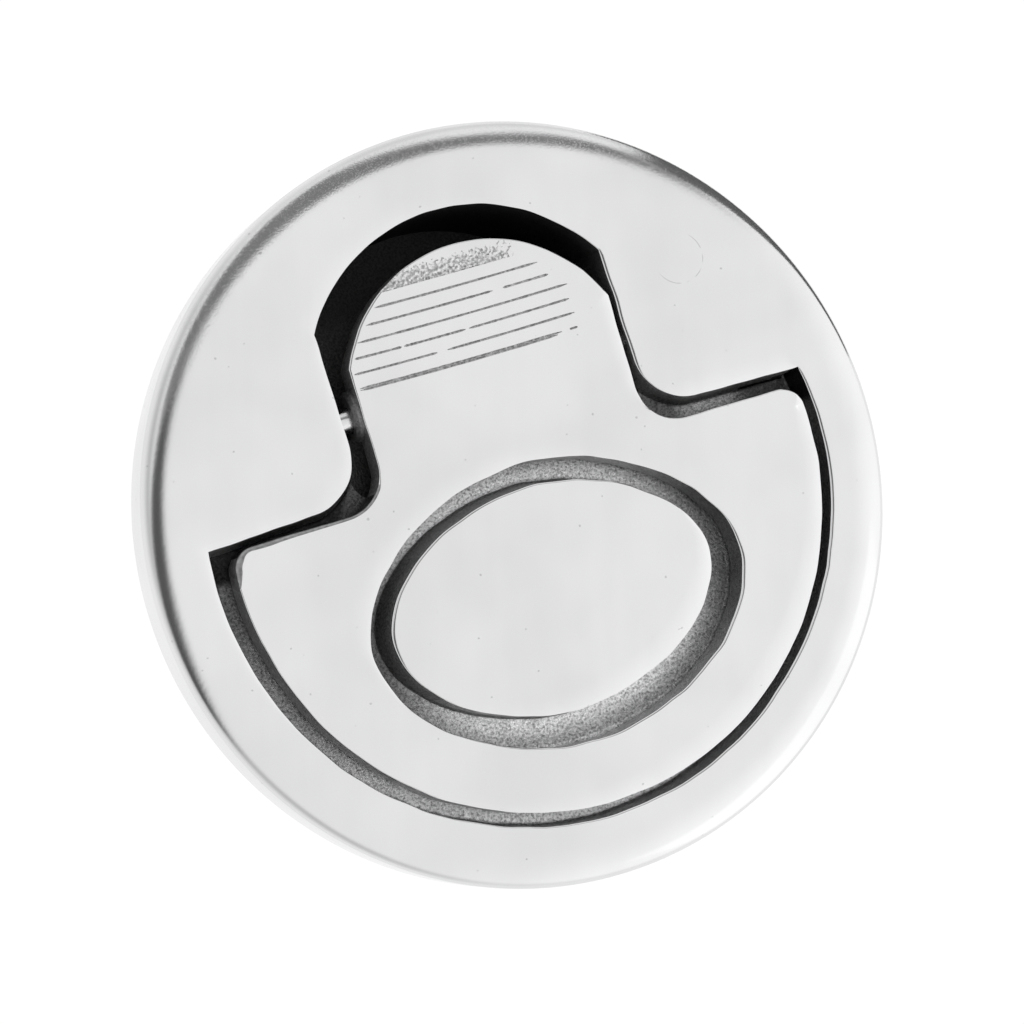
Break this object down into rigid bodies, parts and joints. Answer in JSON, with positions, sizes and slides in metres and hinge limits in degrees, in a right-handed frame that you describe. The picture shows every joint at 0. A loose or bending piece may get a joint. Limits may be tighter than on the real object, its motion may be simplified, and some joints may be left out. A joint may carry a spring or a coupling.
{
  "type": "flush lift ring",
  "caption": "Round cast stainless flush lift ring: pressing the thumb tab swings the ring handle up out of its keyhole recess around an oval island; studs clamp it from behind.",
  "frame": {"origin": "centre of the housing's round outline, on the flat back seat that lies on the panel", "axes": "+X along the pivot pin, +Y towards the thumb tab, +Z out of the face"},
  "size_m": [0.062, 0.062, 0.0294],
  "materials": {
    "housing_steel": "polished face and rim, grainy as-cast recess and back",
    "ring_steel": "polished face and edges, as-cast underside and tab tip",
    "pin_steel": "bright drawn",
    "fastener_steel": "plain machined"
  },
  "bodies": {
    "base": {"housing": "housing_steel", "pivot_pin": "pin_steel", "stud_left": "fastener_steel", "stud_right": "fastener_steel", "flat_washer_left": "fastener_steel", "flat_washer_right": "fastener_steel", "lock_washer_left": "fastener_steel", "lock_washer_right": "fastener_steel", "nut_left": "fastener_steel", "nut_right": "fastener_steel"},
    "ring": {"lift_ring": "ring_steel"}
  },
  "joints": [
    {"name": "ring_pivot", "type": "hinge", "parent": "base", "child": "ring", "pos_m": [0, 0.0104, 0.0033], "axis": [-1, 0, 0], "range_deg": [0, 90]}
  ]
}
